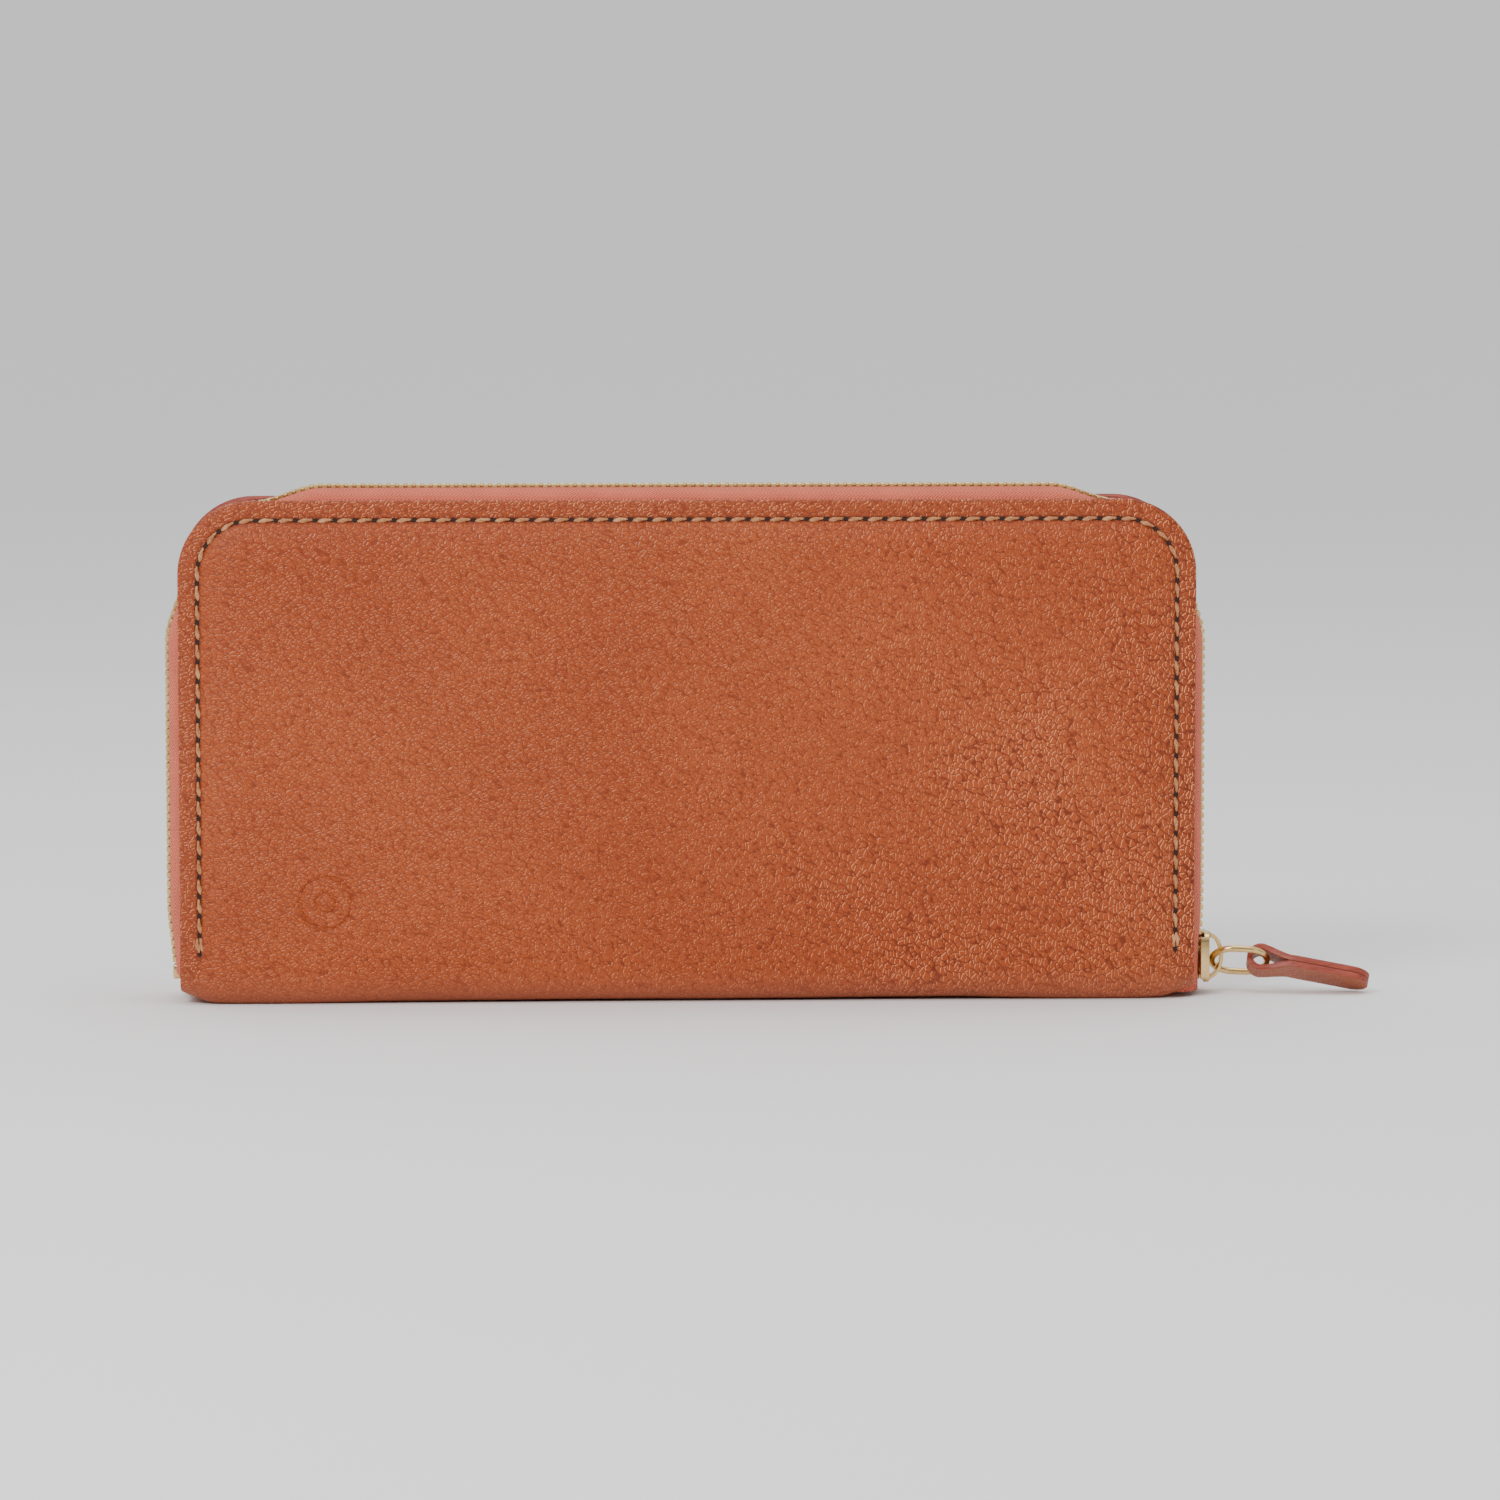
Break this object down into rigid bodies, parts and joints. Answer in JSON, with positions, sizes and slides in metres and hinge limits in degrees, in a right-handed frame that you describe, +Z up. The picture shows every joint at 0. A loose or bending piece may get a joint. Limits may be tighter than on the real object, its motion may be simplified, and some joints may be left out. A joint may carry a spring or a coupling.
{
  "type": "zip around wallet",
  "caption": "Long zip around wallet with a hinged front and back cover, card pockets, bill compartments, a zipped coin pocket, and a slider with a ring and leather pull tab.",
  "frame": {"origin": "centre of the spine's flat underside, which the closed wallet stands on", "axes": "+X along the wallet towards the slider and its tab, +Z up towards the top of the zip, -Y out of the front cover"},
  "size_m": [0.2291, 0.0248, 0.0975],
  "materials": {
    "leather": "pebbled, soft sheen",
    "pocket_leather": "fine grain, satin",
    "lining": "woven",
    "board": "fibre board, matte",
    "zip_tape": "herringbone woven tape",
    "coin_tape": "woven tape",
    "thread": "waxed twisted thread",
    "brass": "pale gold plating, polished"
  },
  "bodies": {
    "root": {"spine": "leather", "spine_lining": "lining", "coin_front_wall": "lining", "coin_back_wall": "lining", "coin_front_tape": "coin_tape", "coin_back_tape": "coin_tape", "coin_front_teeth": "brass", "coin_back_teeth": "brass", "coin_left_stop": "brass", "coin_right_stop": "brass", "front_left_gusset": "lining", "front_right_gusset": "lining", "back_left_gusset": "lining", "back_right_gusset": "lining", "bottom_stop": "brass"},
    "front_cover": {"front_panel": "leather", "front_stiffener": "board", "front_lining": "lining", "front_card_backing": "lining", "front_card_pocket_1": "pocket_leather", "front_card_pocket_2": "pocket_leather", "front_card_pocket_3": "pocket_leather", "front_card_pocket_4": "pocket_leather", "front_zip_tape": "zip_tape", "front_zip_teeth": "brass", "front_seam_thread": "thread", "front_top_stop": "brass"},
    "back_cover": {"back_panel": "leather", "back_stiffener": "board", "back_lining": "lining", "back_card_backing": "lining", "back_card_pocket_1": "pocket_leather", "back_card_pocket_2": "pocket_leather", "back_card_pocket_3": "pocket_leather", "back_card_pocket_4": "pocket_leather", "back_zip_tape": "zip_tape", "back_zip_teeth": "brass", "back_seam_thread": "thread", "back_top_stop": "brass"},
    "slider": {"slider_body": "brass", "slider_bridge": "brass"},
    "pull_ring": {"pull_ring": "brass"},
    "pull_tab": {"pull_tab": "leather"},
    "coin_slider": {"coin_slider_body": "brass", "coin_slider_bridge": "brass"},
    "coin_pull": {"coin_pull": "brass"}
  },
  "joints": [
    {"name": "front_cover_hinge", "type": "hinge", "parent": "root", "child": "front_cover", "pos_m": [0, -0.0075, 0.0045], "axis": [1, 0, 0], "range_deg": [0, 32], "deforming": ["front_left_gusset", "front_right_gusset"]},
    {"name": "back_cover_hinge", "type": "hinge", "parent": "root", "child": "back_cover", "pos_m": [0, 0.0075, 0.0045], "axis": [-1, 0, 0], "range_deg": [0, 32], "deforming": ["back_left_gusset", "back_right_gusset"]},
    {"name": "slider_slide", "type": "slide", "parent": "back_cover", "child": "slider", "axis": [0, 0, 1], "range_m": [0, 0.052]},
    {"name": "ring_swing", "type": "hinge", "parent": "slider", "child": "pull_ring", "pos_m": [0.1006, 0, 0.0063], "axis": [0, -0.788, 0.6157], "range_deg": [0, 50]},
    {"name": "tab_swing", "type": "hinge", "parent": "pull_ring", "child": "pull_tab", "pos_m": [0.11117, -0.00046, 0.00572], "axis": [-0.073, -0.8837, 0.4623], "range_deg": [0, 35]},
    {"name": "coin_slide", "type": "slide", "parent": "root", "child": "coin_slider", "axis": [1, 0, 0], "range_m": [0, 0.145]},
    {"name": "coin_pull_swing", "type": "hinge", "parent": "coin_slider", "child": "coin_pull", "pos_m": [-0.0734, 0, 0.0747], "axis": [0, -1, 0], "range_deg": [0, 90]}
  ]
}
